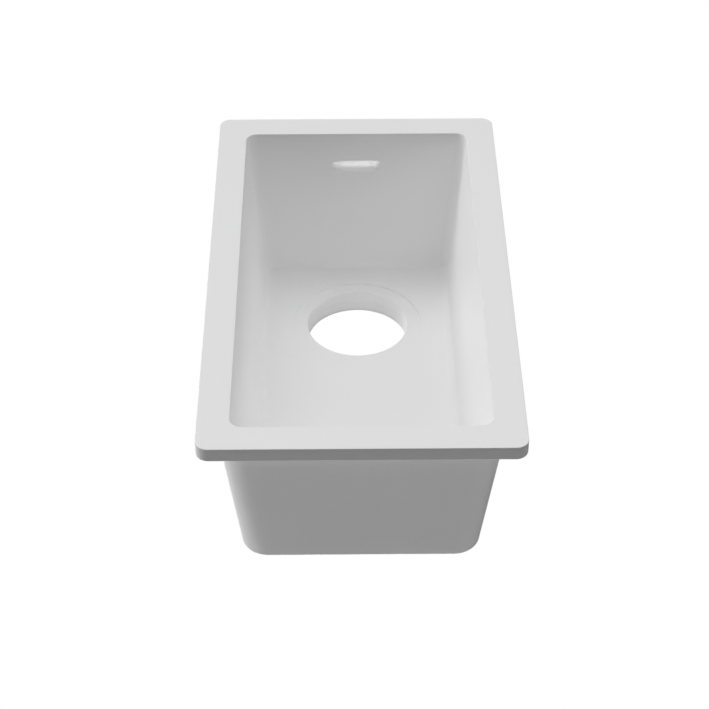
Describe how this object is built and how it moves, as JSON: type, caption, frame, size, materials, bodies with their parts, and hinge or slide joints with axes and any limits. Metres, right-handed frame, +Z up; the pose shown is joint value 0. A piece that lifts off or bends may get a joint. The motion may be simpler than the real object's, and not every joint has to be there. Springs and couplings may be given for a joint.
{
  "type": "kitchen sink bowl",
  "caption": "Narrow rectangular undermount sink bowl in matt white solid surface, with a flat rim plate, leaning walls, a waste hole towards the back and a slot overflow.",
  "frame": {"origin": "middle of the bowl opening, in the plane of the rim plate's top face, which is the underside of the worktop that the sink hangs from", "axes": "+X to the right and +Y towards the back wall with the overflow slot, as seen by a person standing at the front; +Z up, out of the bowl"},
  "size_m": [0.25, 0.4601, 0.159],
  "materials": {
    "solid_surface": "fine matt",
    "white_plastic": "satin moulded",
    "seal_rubber": "matt",
    "stainless_steel": "bright zinc or stainless",
    "brass": "machined"
  },
  "bodies": {
    "root": {"rim_flange": "solid_surface", "front_wall": "solid_surface", "back_wall": "solid_surface", "left_wall": "solid_surface", "right_wall": "solid_surface", "corner_front_left": "solid_surface", "corner_front_right": "solid_surface", "corner_back_left": "solid_surface", "corner_back_right": "solid_surface", "floor_panel": "solid_surface", "waste_collar": "solid_surface", "overflow_housing": "white_plastic", "housing_seal": "seal_rubber", "housing_screws": "stainless_steel", "screw_inserts": "brass"}
  },
  "joints": []
}
